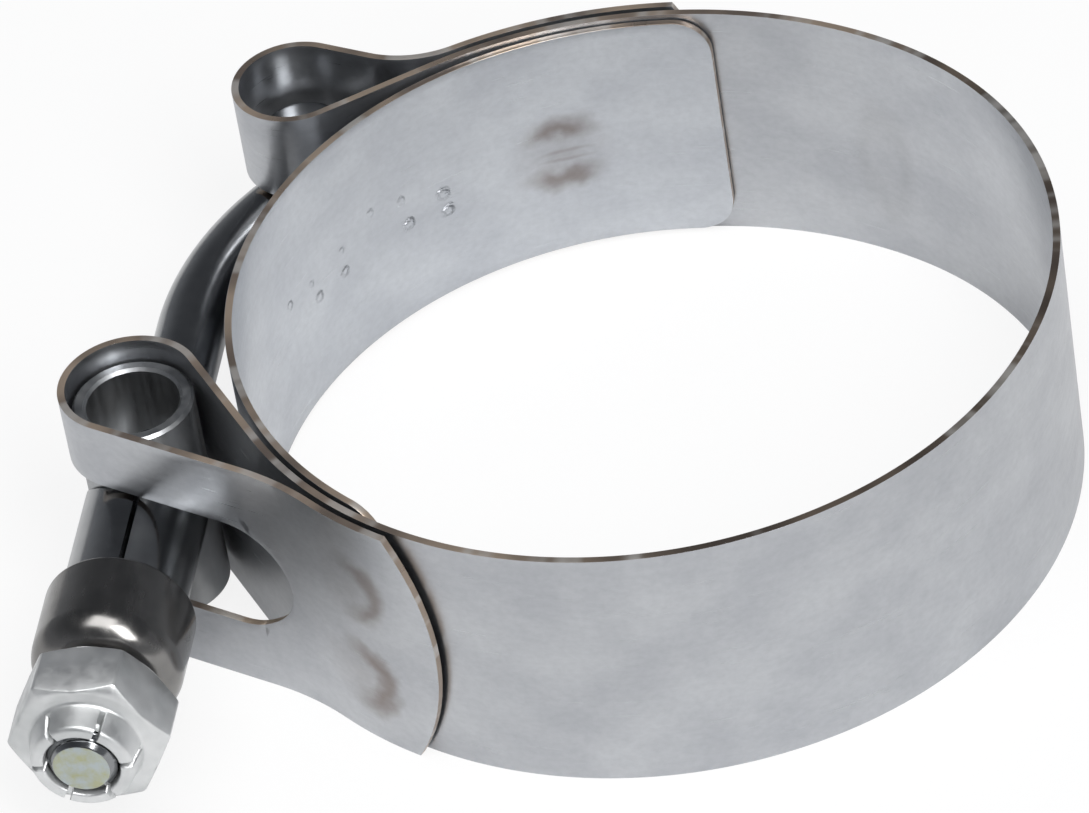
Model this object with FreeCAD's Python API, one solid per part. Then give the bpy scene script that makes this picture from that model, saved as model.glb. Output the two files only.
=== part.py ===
import FreeCAD, Part
import math
import os

V = FreeCAD.Vector

# T-bolt band clamp lying on the edge of its band. Millimetres, +Z along the axis of the ring.
# The origin is on that axis at half the width of the band, and the bolt runs along -Y.

# Band: one strap of stainless sheet, a ring with both ends folded back into loops
BAND_WIDTH = 19.05
BAND_THICK = 0.5
BRIDGE_THICK = 0.5
GRIP_RADIUS = 26.8
LAP_GAP = 0.05
LEAF_GAP = 0.38
LEAF_END_BULGE = 2.7

# Ring: four arcs that meet smoothly, because the sprung strap lies a little out of round.
# Each arc's inner radius is given by how much it differs from the tightest fit over the bridge.
RING_SAG = 0.51
RING_SAG_ANGLE = 246.0
RING_NEAR_EASE = 0.0
RING_FRONT_EASE = 1.12
RING_SIDE_EASE = -2.32
RING_BACK_EASE = 2.37
RING_FRONT_ANGLE = 290.0
RING_SIDE_ANGLE = 20.0
RING_BACK_ANGLE = 60.0

# Bridge: the inner sheet that closes the gap between the loops
BRIDGE_SET_IN = 0.35
BRIDGE_FAR_ANGLE = 86.0
BRIDGE_NEAR_ANGLE = 240.0
BRIDGE_CORNER = 2.6

# Near loop, folded round the trunnion
NEAR_LOOP_STAND_OFF = 6.15
NEAR_LOOP_ANGLE = 198.2
NEAR_PINCH_RADIUS = 21.0
NEAR_LAND_ANGLE = 230.3
NEAR_LEAF_ANGLE = 243.5
NEAR_SLOT_REACH = 13.9
NEAR_SLOT_CLOSED_ANGLE = 50.0

# Far loop, folded round the head of the bolt
FAR_LOOP_STAND_OFF = 5.55
FAR_LOOP_ANGLE = 141.6
FAR_LOOP_BORE = 3.85
FAR_PINCH_RADIUS = 7.0
FAR_LAND_ANGLE = 121.0
FAR_LEAF_ANGLE = 92.0
FAR_SLOT_REACH = 10.5
FAR_SLOT_CLOSED_ANGLE = 278.0

# Slot through each fold, half round at both ends
SLOT_PLAY = 0.3
SLOT_CLOSED_LEAD = 16.0

# Spot welds between each folded end and the ring
WELD_RADIUS = 1.6
WELD_SPACING = 7.6
WELD_SET_BACK = 6.0

# Trunnion: a short tube across the near loop, drilled for the bolt
TRUNNION_RADIUS = 4.1
TRUNNION_WALL = 0.95
TRUNNION_LENGTH = 16.0
TRUNNION_PLAY = 0.2
TRUNNION_EDGE_BREAK = 0.2

# T-bolt: number 10 shank with a round cross-bar head
BOLT_RADIUS = 2.415
BOLT_PLAY = 0.3
BOLT_BEND_RADIUS = 22.4
BOLT_REACH = 26.65
BOLT_END_CHAMFER = 0.55
HEAD_RADIUS = 3.0
HEAD_LENGTH = 11.0
HEAD_EDGE_BREAK = 0.5

# Spacer sleeve: a tube rolled from sheet, with its open seam on top
SLEEVE_RADIUS = 4.15
SLEEVE_WALL = 0.95
SLEEVE_SEAM = 0.35
SLEEVE_SEAM_ANGLE = 8.0
SLEEVE_SEAT_GAP = 0.15
SLEEVE_EAR_START = 2.0

# Thimble: a drawn cup over the end of the sleeve, with the nut on its closed end
THIMBLE_WALL = 0.85
THIMBLE_PLAY = 0.05
THIMBLE_REAR = 11.9
THIMBLE_LENGTH = 8.9
THIMBLE_SHOULDER = 2.45

# Lock nut: hexagon with a slotted locking collar
NUT_ACROSS_FLATS = 9.525
NUT_THICK = 3.6
NUT_CHAMFER_DEGREES = 30.0
NUT_TURNED = 3.0
NUT_SEAT_GAP = 0.05
THREAD_CLEARANCE = 0.05
COLLAR_BASE_RADIUS = 3.75
COLLAR_TIP_RADIUS = 3.35
COLLAR_HEIGHT = 2.1
COLLAR_SLOTS = 6
COLLAR_SLOT_WIDTH = 0.4
COLLAR_SLOT_DEPTH = 1.7

# Sizes that follow from the ones above
HALF_WIDTH = BAND_WIDTH / 2.0
HALF_THICK = BAND_THICK / 2.0
RING_INNER = GRIP_RADIUS + BRIDGE_THICK + LAP_GAP
RING_OUTER = RING_INNER + BAND_THICK
LEAF_STEP = BAND_THICK + LEAF_GAP
NEAR_LOOP_MIDDLE = TRUNNION_RADIUS + TRUNNION_PLAY + HALF_THICK
FAR_LOOP_MIDDLE = FAR_LOOP_BORE + HALF_THICK
NEAR_SLOT_HEIGHT = 2.0 * (SLEEVE_RADIUS + SLOT_PLAY)
FAR_SLOT_HEIGHT = 2.0 * (BOLT_RADIUS + SLOT_PLAY)
BORE_RADIUS = BOLT_RADIUS + BOLT_PLAY
THIMBLE_INNER = SLEEVE_RADIUS + THIMBLE_PLAY
THIMBLE_FRONT = THIMBLE_REAR + THIMBLE_LENGTH
NUT_BACK = THIMBLE_FRONT + NUT_SEAT_GAP
NUT_BORE = BOLT_RADIUS + THREAD_CLEARANCE
OVERRUN = 2.0
LEFT = 1
RIGHT = -1


def polar(radius, degrees):
    """Point at a radius and angle about the axis of the ring."""
    angle = math.radians(degrees)
    return V(radius * math.cos(angle), radius * math.sin(angle), 0)


NEAR_LOOP = polar(RING_OUTER + NEAR_LOOP_STAND_OFF, NEAR_LOOP_ANGLE)
FAR_LOOP = polar(RING_OUTER + FAR_LOOP_STAND_OFF, FAR_LOOP_ANGLE)


def tangent_line(first, second):
    """Straight run that leaves one (centre, radius, turn) circle and meets the next, keeping both turns."""
    start, start_radius, start_turn = first
    finish, finish_radius, finish_turn = second
    reach = finish - start
    across = (finish_turn * finish_radius - start_turn * start_radius) / reach.Length
    heading = math.atan2(reach.y, reach.x) - math.asin(max(-1.0, min(1.0, across)))
    left = V(-math.sin(heading), math.cos(heading), 0)
    return start - left * start_turn * start_radius, finish - left * finish_turn * finish_radius


def heading_of(start, finish):
    """Direction in degrees from one point to another."""
    return math.degrees(math.atan2(finish.y - start.y, finish.x - start.x))


def bow(centre, turn, start, finish):
    """Arc edge about a centre, from one point to another, turning left or right."""
    first = math.atan2(start.y - centre.y, start.x - centre.x)
    last = math.atan2(finish.y - centre.y, finish.x - centre.x)
    middle = first + turn * ((turn * (last - first)) % (2.0 * math.pi)) / 2.0
    crown = centre + V(math.cos(middle), math.sin(middle), 0) * (start - centre).Length
    return Part.Arc(start, crown, finish).toShape()


def beside(point, circle, distance):
    """Point moved to the left of the path where the path follows a circle."""
    centre, radius, turn = circle
    return point + (centre - point) * (turn * distance / radius)


def folded_sheet(circles, start, finish, thick, width):
    """Sheet of even thickness that follows arcs joined by their common tangents, standing on edge."""
    ends = [start]
    for first, second in zip(circles, circles[1:]):
        leave, meet = tangent_line(first, second)
        ends += [leave if (meet - leave).Length > thick / 100.0 else meet, meet]
    ends.append(finish)
    edges = []
    corners = []
    for side in (LEFT, RIGHT):
        points = [
            beside(point, circles[place // 2], side * thick / 2.0) for place, point in enumerate(ends)]
        for place, (centre, radius, turn) in enumerate(circles):
            edges.append(bow(centre, turn, points[2 * place], points[2 * place + 1]))
        for before, after in zip(points[1:-1:2], points[2:-1:2]):
            if (after - before).Length > thick / 100.0:
                edges.append(Part.makeLine(before, after))
        corners.append((points[0], points[-1]))
    edges += [Part.makeLine(left, right) for left, right in zip(*corners)]
    outline = Part.Wire(Part.__sortEdges__(edges))
    sheet = Part.Face(outline).extrude(V(0, 0, width))
    sheet.translate(V(0, 0, -width / 2.0))
    return sheet


def ring_arcs():
    """Circles of the ring's middle line from the near loop to the far one, each smooth with the next."""
    inner = [RING_INNER + ease for ease in (RING_NEAR_EASE, RING_FRONT_EASE, RING_SIDE_EASE, RING_BACK_EASE)]
    centre = polar(RING_SAG, RING_SAG_ANGLE)
    arcs = [(centre, inner[0] + HALF_THICK, LEFT)]
    for before, radius, joint in zip(inner, inner[1:], (RING_FRONT_ANGLE, RING_SIDE_ANGLE, RING_BACK_ANGLE)):
        centre = centre + polar(before - radius, joint)
        arcs.append((centre, radius + HALF_THICK, LEFT))
    return arcs


def slot_cutter(centre, degrees, height, reach, depths):
    """Prism with a half-round end along a wall, taken between two depths beside the line of the wall."""
    half = height / 2.0
    shallow, deep = depths
    length = reach - half
    start = length - height
    top = Part.makeLine(V(start, 0, half), V(length, 0, half))
    nose = Part.Arc(V(length, 0, half), V(reach, 0, 0), V(length, 0, -half)).toShape()
    bottom = Part.makeLine(V(length, 0, -half), V(start, 0, -half))
    back = Part.makeLine(V(start, 0, -half), V(start, 0, half))
    cutter = Part.Face(Part.Wire([top, nose, bottom, back])).extrude(V(0, deep - shallow, 0))
    cutter.translate(V(0, shallow, 0))
    cutter.rotate(V(0, 0, 0), V(0, 0, 1), degrees)
    cutter.translate(centre)
    return cutter


def ring_core(arc):
    """Cylinder that shields the ring where only the leaf folded over one of its arcs is cut."""
    centre, radius, turn = arc
    core = Part.makeCylinder(radius + LEAF_STEP / 2.0, BAND_WIDTH * 2.0)
    core.translate(centre - V(0, 0, BAND_WIDTH))
    return core


def loop_slot(loop, middle, heading, height, reach, closed_angle, turn):
    """Slot that runs from the outer wall of a fold round its tip and closes beside the inner wall."""
    outside = sorted([-turn * (middle - BAND_THICK), -turn * (middle + height)])
    along_wall = slot_cutter(loop, heading, height, reach, outside)
    closed_reach = middle * math.sin(math.radians(SLOT_CLOSED_LEAD))
    facing = closed_angle + turn * SLOT_CLOSED_LEAD
    inside = sorted([turn * middle / 2.0, turn * (middle + BAND_THICK)])
    closed_end = slot_cutter(loop, facing - turn * 90.0, height, closed_reach, inside)
    open_lead = math.degrees(math.asin((height / 2.0 - closed_reach) / middle))
    window = Part.makeCylinder(middle + BAND_THICK, height, V(0, 0, -height / 2.0), V(0, 0, 1), 180.0)
    window.rotate(V(0, 0, 0), V(0, 0, 1), facing + turn * (open_lead + 90.0) - 90.0)
    window.translate(loop)
    return [along_wall, closed_end, window]


def leaf_trim(arc, leaf_angle, turn):
    """Waste beyond the rounded end of a folded leaf, kept clear of the ring beneath it."""
    centre, radius, ring_turn = arc
    nose_radius = (HALF_WIDTH ** 2 + LEAF_END_BULGE ** 2) / (2.0 * LEAF_END_BULGE)
    block = Part.makeBox(HALF_WIDTH, LEAF_END_BULGE * 3.0, BAND_WIDTH + OVERRUN)
    block.translate(V(radius - HALF_WIDTH / 2.0, 0, -HALF_WIDTH - OVERRUN / 2.0))
    nose = Part.makeCylinder(nose_radius, BAND_WIDTH * 3.0, V(0, 0, 0), V(1, 0, 0))
    nose.translate(V(0, LEAF_END_BULGE - nose_radius, 0))
    waste = block.cut(nose)
    if turn == RIGHT:
        waste = waste.mirror(V(0, 0, 0), V(0, 1, 0))
    waste.rotate(V(0, 0, 0), V(0, 0, 1), leaf_angle)
    waste.translate(centre)
    return waste.cut(ring_core(arc))


def welds(arc, leaf_angle, turn):
    """Two nuggets, one above the other, that join a folded leaf to the ring."""
    centre, radius, ring_turn = arc
    nuggets = []
    degrees = leaf_angle - turn * math.degrees(WELD_SET_BACK / radius)
    for height in (-WELD_SPACING / 2.0, WELD_SPACING / 2.0):
        nugget = Part.makeCylinder(WELD_RADIUS, LEAF_STEP, V(0, 0, 0), V(1, 0, 0))
        nugget.translate(V(radius, 0, height))
        nugget.rotate(V(0, 0, 0), V(0, 0, 1), degrees)
        nugget.translate(centre)
        nuggets.append(nugget)
    return nuggets


def leaf_on(arc):
    """Circle that a folded leaf follows on the outside of one of the ring's arcs."""
    centre, radius, turn = arc
    return centre, radius + LEAF_STEP, RIGHT


def pinch_on(leaf, radius, angle):
    """Circle that bends a leaf up from the ring into its loop."""
    return leaf[0] + polar(leaf[1] + radius, angle), radius, LEFT


def band():
    """Strap that makes the ring and is folded back at both ends into a slotted, welded loop."""
    ring = ring_arcs()
    near_leaf = leaf_on(ring[0])
    far_leaf = leaf_on(ring[-1])
    near_loop = (NEAR_LOOP, NEAR_LOOP_MIDDLE, RIGHT)
    far_loop = (FAR_LOOP, FAR_LOOP_MIDDLE, RIGHT)
    near_pinch = pinch_on(near_leaf, NEAR_PINCH_RADIUS, NEAR_LAND_ANGLE)
    far_pinch = pinch_on(far_leaf, FAR_PINCH_RADIUS, FAR_LAND_ANGLE)
    circles = [near_leaf, near_pinch, near_loop] + ring + [far_loop, far_pinch, far_leaf]
    end_swing = math.degrees(2.0 * LEAF_END_BULGE / near_leaf[1])
    start = near_leaf[0] + polar(near_leaf[1], NEAR_LEAF_ANGLE + end_swing)
    finish = far_leaf[0] + polar(far_leaf[1], FAR_LEAF_ANGLE - end_swing)
    strap = folded_sheet(circles, start, finish, BAND_THICK, BAND_WIDTH)
    near_heading = heading_of(*tangent_line(near_pinch, near_loop)[::-1])
    far_heading = heading_of(*tangent_line(far_loop, far_pinch))
    near_wall, near_end, near_tip = loop_slot(
        NEAR_LOOP, NEAR_LOOP_MIDDLE, near_heading, NEAR_SLOT_HEIGHT,
        NEAR_SLOT_REACH, NEAR_SLOT_CLOSED_ANGLE, LEFT)
    far_wall, far_end, far_tip = loop_slot(
        FAR_LOOP, FAR_LOOP_MIDDLE, far_heading, FAR_SLOT_HEIGHT,
        FAR_SLOT_REACH, FAR_SLOT_CLOSED_ANGLE, RIGHT)
    waste = [
        near_wall.cut(ring_core(ring[0])), near_end, near_tip,
        far_wall.cut(ring_core(ring[-1])), far_end, far_tip,
        leaf_trim(ring[0], NEAR_LEAF_ANGLE, LEFT), leaf_trim(ring[-1], FAR_LEAF_ANGLE, RIGHT)]
    for piece in waste:
        strap = strap.cut(piece)
    nuggets = welds(ring[0], NEAR_LEAF_ANGLE, LEFT) + welds(ring[-1], FAR_LEAF_ANGLE, RIGHT)
    return strap.fuse(nuggets).removeSplitter()


def bridge():
    """Inner sheet with rounded corners that closes the gap between the loops."""
    middle = GRIP_RADIUS + BRIDGE_THICK / 2.0
    height = BAND_WIDTH - 2.0 * BRIDGE_SET_IN
    start = polar(middle, BRIDGE_FAR_ANGLE)
    finish = polar(middle, BRIDGE_NEAR_ANGLE)
    sheet = folded_sheet([(V(0, 0, 0), middle, LEFT)], start, finish, BRIDGE_THICK, height)
    corners = [edge for edge in sheet.Edges if abs(edge.Length - BRIDGE_THICK) < BRIDGE_THICK / 100.0]
    return sheet.makeFillet(BRIDGE_CORNER, corners)


def along_bolt(shape):
    """Turns a shape made along +Z from the origin to lie along the bolt, outwards from the trunnion."""
    shape.rotate(V(0, 0, 0), V(1, 0, 0), 90.0)
    shape.translate(NEAR_LOOP)
    return shape


def trunnion():
    """Tube across the near loop, drilled for the bolt."""
    tube = Part.makeCylinder(TRUNNION_RADIUS, TRUNNION_LENGTH)
    tube = tube.cut(Part.makeCylinder(TRUNNION_RADIUS - TRUNNION_WALL, TRUNNION_LENGTH))
    rims = [edge for edge in tube.Edges if edge.Curve.TypeId == "Part::GeomCircle"]
    tube = tube.makeChamfer(TRUNNION_EDGE_BREAK, rims)
    tube.translate(NEAR_LOOP - V(0, 0, TRUNNION_LENGTH / 2.0))
    hole = Part.makeCylinder(BORE_RADIUS, TRUNNION_LENGTH)
    hole.translate(V(0, 0, -TRUNNION_LENGTH / 2.0))
    return tube.cut(along_bolt(hole))


def t_bolt():
    """Round shank, straight through the trunnion and bent to the far loop, where its cross-bar lies."""
    bend_centre = V(NEAR_LOOP.x + BOLT_BEND_RADIUS, 0, 0)
    rise = math.sqrt(BOLT_BEND_RADIUS ** 2 - (FAR_LOOP.x - bend_centre.x) ** 2)
    bend_centre.y = FAR_LOOP.y - rise
    straight = BOLT_REACH - NEAR_LOOP.y + bend_centre.y
    shank = Part.makeCylinder(BOLT_RADIUS, straight)
    tip = [edge for edge in shank.Edges if edge.BoundBox.ZMin > straight / 2.0]
    shank = shank.makeChamfer(BOLT_END_CHAMFER, tip)
    shank.translate(V(0, 0, BOLT_REACH - straight))
    shank = along_bolt(shank)
    section = Part.makeCircle(BOLT_RADIUS, V(NEAR_LOOP.x, bend_centre.y, 0), V(0, 1, 0))
    sweep = math.degrees(math.asin(rise / BOLT_BEND_RADIUS))
    bend = Part.Face(Part.Wire(section)).revolve(bend_centre, V(0, 0, -1), sweep)
    head = Part.makeCylinder(HEAD_RADIUS, HEAD_LENGTH)
    rims = [edge for edge in head.Edges if edge.Curve.TypeId == "Part::GeomCircle"]
    head = head.makeChamfer(HEAD_EDGE_BREAK, rims)
    head.translate(FAR_LOOP - V(0, 0, HEAD_LENGTH / 2.0))
    return shank.fuse([bend, head]).removeSplitter()


def spacer_sleeve():
    """Rolled tube over the bolt, coped to the trunnion and open along its seam."""
    end = THIMBLE_FRONT - THIMBLE_SHOULDER
    tube = Part.makeCylinder(SLEEVE_RADIUS, end - SLEEVE_EAR_START)
    tube = tube.cut(Part.makeCylinder(SLEEVE_RADIUS - SLEEVE_WALL, end - SLEEVE_EAR_START))
    tube.translate(V(0, 0, SLEEVE_EAR_START))
    seam = Part.makeBox(SLEEVE_SEAM, SLEEVE_RADIUS * 2.0, end)
    seam.translate(V(-SLEEVE_SEAM / 2.0, 0, 0))
    seam.rotate(V(0, 0, 0), V(0, 0, 1), -SLEEVE_SEAM_ANGLE)
    tube = along_bolt(tube.cut(seam))
    seat = Part.makeCylinder(TRUNNION_RADIUS + SLEEVE_SEAT_GAP, BAND_WIDTH)
    seat.translate(NEAR_LOOP - V(0, 0, HALF_WIDTH))
    return tube.cut(seat)


def thimble():
    """Drawn cup with a full round shoulder, closed towards the nut but for the bolt's hole."""
    outer = THIMBLE_INNER + THIMBLE_WALL
    rise = THIMBLE_LENGTH - THIMBLE_SHOULDER
    flat = outer - THIMBLE_SHOULDER
    diagonal = THIMBLE_SHOULDER * math.sqrt(0.5)
    shoulder = Part.Arc(
        V(outer, 0, rise), V(flat + diagonal, 0, rise + diagonal), V(flat, 0, THIMBLE_LENGTH)).toShape()
    corners = [V(flat, 0, THIMBLE_LENGTH), V(0, 0, THIMBLE_LENGTH), V(0, 0, 0), V(outer, 0, 0), V(outer, 0, rise)]
    walls = [Part.makeLine(first, second) for first, second in zip(corners, corners[1:])]
    cup = Part.Face(Part.Wire([shoulder] + walls)).revolve(V(0, 0, 0), V(0, 0, 1), 360.0)
    crown = Part.makeCone(THIMBLE_INNER, BORE_RADIUS, THIMBLE_SHOULDER - THIMBLE_WALL)
    crown.translate(V(0, 0, rise))
    for hollow in (Part.makeCylinder(THIMBLE_INNER, rise), crown, Part.makeCylinder(BORE_RADIUS, THIMBLE_LENGTH)):
        cup = cup.cut(hollow)
    cup.translate(V(0, 0, THIMBLE_REAR))
    return along_bolt(cup)


def lock_nut():
    """Chamfered hexagon with a tapered collar cut into gripping segments."""
    corner = NUT_ACROSS_FLATS / math.sqrt(3.0)
    corners = [polar(corner, 60.0 * place) for place in range(6)]
    hexagon = Part.Face(Part.makePolygon(corners + corners[:1])).extrude(V(0, 0, NUT_THICK))
    face = NUT_ACROSS_FLATS / 2.0
    drop = (corner - face) * math.tan(math.radians(NUT_CHAMFER_DEGREES))
    profile = [
        V(0, 0, 0), V(face, 0, 0), V(corner, 0, drop),
        V(corner, 0, NUT_THICK - drop), V(face, 0, NUT_THICK), V(0, 0, NUT_THICK), V(0, 0, 0)]
    turned = Part.Face(Part.makePolygon(profile)).revolve(V(0, 0, 0), V(0, 0, 1), 360.0)
    body = hexagon.common(turned)
    collar = Part.makeCone(COLLAR_BASE_RADIUS, COLLAR_TIP_RADIUS, COLLAR_HEIGHT)
    collar.translate(V(0, 0, NUT_THICK))
    height = NUT_THICK + COLLAR_HEIGHT
    for place in range(COLLAR_SLOTS):
        slot = Part.makeBox(COLLAR_BASE_RADIUS * 2.0, COLLAR_SLOT_WIDTH, COLLAR_SLOT_DEPTH)
        slot.translate(V(0, -COLLAR_SLOT_WIDTH / 2.0, height - COLLAR_SLOT_DEPTH))
        slot.rotate(V(0, 0, 0), V(0, 0, 1), 360.0 * place / COLLAR_SLOTS)
        collar = collar.cut(slot)
    nut = body.fuse(collar).cut(Part.makeCylinder(NUT_BORE, height)).removeSplitter()
    nut.rotate(V(0, 0, 0), V(0, 0, 1), NUT_TURNED)
    nut.translate(V(0, 0, NUT_BACK))
    return along_bolt(nut)


os.makedirs("parts", exist_ok=True)
PIECES = {
    "band": band,
    "bridge": bridge,
    "trunnion": trunnion,
    "t_bolt": t_bolt,
    "spacer_sleeve": spacer_sleeve,
    "thimble": thimble,
    "lock_nut": lock_nut,
}
for name, make in PIECES.items():
    make().exportStep("parts/" + name + ".step")
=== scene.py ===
import math

import bpy
import numpy as np
from mathutils import Matrix, Vector


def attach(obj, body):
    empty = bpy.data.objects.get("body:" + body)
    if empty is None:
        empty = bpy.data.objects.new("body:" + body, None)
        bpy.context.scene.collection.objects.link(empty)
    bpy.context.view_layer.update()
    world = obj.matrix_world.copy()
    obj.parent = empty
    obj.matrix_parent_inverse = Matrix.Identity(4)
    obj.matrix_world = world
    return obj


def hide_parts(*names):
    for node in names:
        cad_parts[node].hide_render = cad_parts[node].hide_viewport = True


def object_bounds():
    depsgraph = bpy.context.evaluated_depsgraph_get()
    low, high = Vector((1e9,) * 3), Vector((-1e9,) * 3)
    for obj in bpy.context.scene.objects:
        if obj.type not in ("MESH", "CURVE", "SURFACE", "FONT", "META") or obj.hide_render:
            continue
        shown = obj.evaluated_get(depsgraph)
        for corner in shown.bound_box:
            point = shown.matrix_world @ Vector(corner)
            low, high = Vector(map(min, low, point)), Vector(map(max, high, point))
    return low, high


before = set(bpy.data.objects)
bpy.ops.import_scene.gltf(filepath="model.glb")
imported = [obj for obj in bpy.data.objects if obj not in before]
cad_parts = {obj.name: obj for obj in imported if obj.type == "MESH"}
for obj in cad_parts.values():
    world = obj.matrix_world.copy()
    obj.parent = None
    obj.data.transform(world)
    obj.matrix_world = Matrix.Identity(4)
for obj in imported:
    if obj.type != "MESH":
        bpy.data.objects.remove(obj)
CAD_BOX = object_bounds()

bl_info = {
    "name": "T-bolt band clamp",
    "version": (1, 0, 0),
    "blender": (4, 5, 0),
    "location": "View3D > Sidebar > Clamp",
    "description": "Builds the strap, bridge, bolt, trunnion, sleeve, thimble and nut "
                   "of a band clamp",
    "category": "Object",
}

MM = 0.001
TURN = 2.0 * math.pi
LEFT = 1
RIGHT = -1


# Number, colour and place helpers

def linear(code):
    """Linear RGBA of an sRGB colour written as six hexadecimal digits."""
    parts = np.array([int(code[place:place + 2], 16) for place in (0, 2, 4)]) / 255.0
    curve = np.where(parts <= 0.04045, parts / 12.92, ((parts + 0.055) / 1.055) ** 2.4)
    return (*curve.tolist(), 1.0)


def polar(radius, degrees):
    """Point in the plane of the ring at a radius and an angle."""
    angle = math.radians(degrees)
    return np.array([radius * math.cos(angle), radius * math.sin(angle)])


def around(count):
    """One row of even angles that close a circle."""
    return np.linspace(0.0, TURN, count, endpoint=False)[None, :]


# Sizes in millimetres and angles in degrees, about the ring's axis unless a line says otherwise

# Middles of both loops, and the radii inside them
NEAR_LOOP = polar(34.0, 198.2)
FAR_LOOP = polar(33.4, 141.6)
NEAR_HOLE, FAR_HOLE = 4.3, 3.85

# The ring's first arc has its centre here. Each next arc is eased by so much in radius, and meets
# the one before it at a joint.
RING_CENTRE = polar(0.51, 246.0)
RING_EASES = 0.0, 1.12, -2.32, 2.37
RING_JOINTS = 290.0, 20.0, 60.0

# Near and far: bend between a loop and its leaf, where the leaf lands on the ring and where it ends
PINCH_RADII = 21.0, 7.0
LAND_ANGLES = 230.3, 121.0
LEAF_ANGLES = 243.5, 92.0
NOSE_REACH = 12.0

# Places of the arcs in the strap's path. A straight run follows each of them.
NEAR_FOLD, NEAR_RING, CLOSED_RING, FAR_RING, FAR_FOLD = 4, 6, 10, 12, 14

# Slots: the end on the fold faces an angle about the pin, and the other end lies off the fold.
# Then the half height, the depths of both round ends and the stations in each.
NEAR_SLOT_ANGLE, NEAR_SLOT_OFF = 50.0, 13.9
FAR_SLOT_ANGLE, FAR_SLOT_OFF = 284.0, 10.5
NEAR_SLOT = 4.45, (4.8, 4.45), 16
FAR_SLOT = 2.715, (2.8, 2.715), 12

# Bridge: its two ends, the radius of its corners, how much shorter it stands and its worn edge
BRIDGE_ANGLES = 86.0, 240.0
BRIDGE_CORNER = 2.6
BRIDGE_INSET = 0.35
BRIDGE_EDGE = 0.08

# Steps of the sheets' meshes
FLAT_STEP = 0.6
STRAP_BEND_STEP = math.radians(2.5)
BRIDGE_BEND_STEP = math.radians(2.0)
STRAP_ROWS, BRIDGE_ROWS = 9, 13

# Thread of the bolt and nut, number 10-32, and the nut's width across its flats
PITCH = 0.794
BOLT_RADIUS = 2.415
NUT_WIDTH = 9.525

# Heat marks: distance along the blank, height on it, half width, half height, strength, colour,
# and how strongly the ring leans sideways and upright
STRAP_WELDS = (
    (3.5, 3.7, 2.4, 2.7, 0.55, "64503F", -0.9, 0.0),
    (3.9, -4.1, 2.8, 3.0, 0.6, "644E3C", -0.9, 0.0),
)
BRIDGE_WELD = (
    (11.5, -0.8, 3.4, 2.9, 0.6, "5B432F", 0.0, 1.5),
    (11.3, -1.0, 2.4, 0.5, 0.25, "6A5442", 0.0, 1.5),
)

# Smudge on the ring: the angle that it faces, then the same values as a heat mark's
SMUDGE_ANGLE = 64.5
SMUDGE = (-1.5, 2.2, 5.0, 0.16, "5C5450", 0.0, 0.0)

# Dents: distance along the blank, height on it, radius and depth
BRIDGE_DENTS = (
    (20.6, -0.65, 0.7, 0.16), (20.4, -2.2, 0.65, 0.18), (24.0, 0.7, 0.5, 0.08),
    (23.7, -1.6, 0.65, 0.15), (26.7, 1.4, 0.45, 0.06), (30.0, -1.6, 0.55, 0.11),
    (29.9, 0.25, 0.4, 0.06), (33.0, -1.6, 0.6, 0.12), (33.6, 0.0, 0.4, 0.06),
    (36.6, 0.5, 0.5, 0.08),
)

# Camera at the photograph's viewing angle: its place in millimetres and its two directions
CAMERA_PLACE = Vector((89.990, -390.459, 341.527))
CAMERA_FORWARD = Vector((-0.18395885, 0.73781866, -0.64944805))
CAMERA_RIGHT = Vector((0.98290241, 0.13278804, -0.12755463))

# Lamps: place in metres, width, height and power
LAMPS = (
    ("overhead", (-0.05, -0.16, 0.70), 0.45, 0.45, 2.2),
    ("key", (0.27, -0.38, 0.50), 0.22, 0.40, 3.2),
)
SKY_LOW = (0.29, 0.30, 0.32, 1.0)
SKY_HIGH = (0.10, 0.105, 0.115, 1.0)

# Floor: half its width in metres, and the share of plain white that camera and mirrors see in it
FLOOR_HALF = 3.0
WHITE_TO_CAMERA = 0.85
WHITE_IN_MIRRORS = 0.2

# All solids of the frame
NODES = ("trunnion", "spacer_sleeve", "t_bolt", "thimble", "lock_nut", "band", "bridge")


# Mesh helpers

def ring_quads(rows, columns):
    """Corner numbers of the quads of a grid stored row by row, whose columns close a ring."""
    row = np.arange(rows - 1)[:, None] * columns
    column = np.arange(columns)[None, :]
    after = (column + 1) % columns
    corners = [row + column, row + after, row + columns + after, row + columns + column]
    return np.stack(corners, -1).reshape(-1, 4)


def make_object(name, points, faces, materials, charts=None):
    """Mesh object from whole arrays, with smooth faces and an optional map of its surface."""
    mesh = bpy.data.meshes.new(name)
    mesh.from_pydata(points.tolist(), [], faces.tolist())
    mesh.polygons.foreach_set("use_smooth", np.ones(len(mesh.polygons), bool))
    if charts is not None:
        layer = mesh.uv_layers.new(name="Blank")
        corners = np.zeros(len(mesh.loops), np.int32)
        mesh.loops.foreach_get("vertex_index", corners)
        layer.data.foreach_set("uv", charts[corners].astype(np.float32).ravel())
    for material in materials:
        mesh.materials.append(material)
    mesh.update()
    obj = bpy.data.objects.new(name, mesh)
    bpy.context.scene.collection.objects.link(obj)
    return obj


def flatten_shading(obj):
    """Keeps the broad faces of an object flat in shading."""
    normals = obj.modifiers.new("Face normals", "WEIGHTED_NORMAL")
    normals.keep_sharp = False


def soften(obj, width, degrees):
    """Rounds the edges sharper than an angle, over a width in millimetres."""
    bevel = obj.modifiers.new("Edge break", "BEVEL")
    bevel.width = width * MM
    bevel.segments = 3
    bevel.limit_method = "ANGLE"
    bevel.angle_limit = math.radians(degrees)
    bevel.use_clamp_overlap = True
    flatten_shading(obj)


def place(obj, body, slot, *nodes):
    """Lets a piece ride on its body in place of the solids that it stands for."""
    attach(obj, body)
    if nodes:
        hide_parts(*nodes)


# Strap path

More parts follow.
